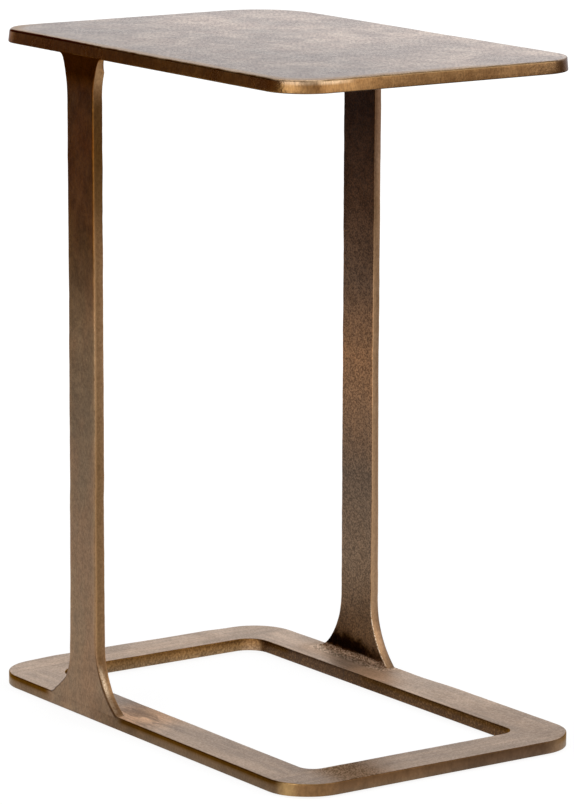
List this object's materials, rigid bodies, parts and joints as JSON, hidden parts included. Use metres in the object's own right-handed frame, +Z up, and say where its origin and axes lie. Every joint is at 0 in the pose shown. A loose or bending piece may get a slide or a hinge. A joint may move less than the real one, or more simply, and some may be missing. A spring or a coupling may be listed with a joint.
{
  "type": "accent table",
  "caption": "C-shaped cast metal accent table: flat rounded top and open ring base joined by two flared off-centre bar legs.",
  "frame": {"origin": "on the floor under the middle of the base ring and of the top", "axes": "+Z up, +X along the table's length towards its open end, +Y across its depth towards the rear leg"},
  "size_m": [0.493, 0.31, 0.61],
  "materials": {
    "brushed_top_casting": "antique brass patina over a finely brushed casting, satin",
    "base_casting": "antique brass patina over a ground casting, satin",
    "leg_casting": "dark bronze patina with rubbed edges, satin",
    "weld_metal": "dark patina over rough weld",
    "felt": "matt felt"
  },
  "bodies": {
    "root": {"table_top": "brushed_top_casting", "base_frame": "base_casting", "front_leg": "leg_casting", "rear_leg": "leg_casting", "foot_welds": "weld_metal", "head_welds": "weld_metal", "floor_pads": "felt"}
  },
  "joints": []
}
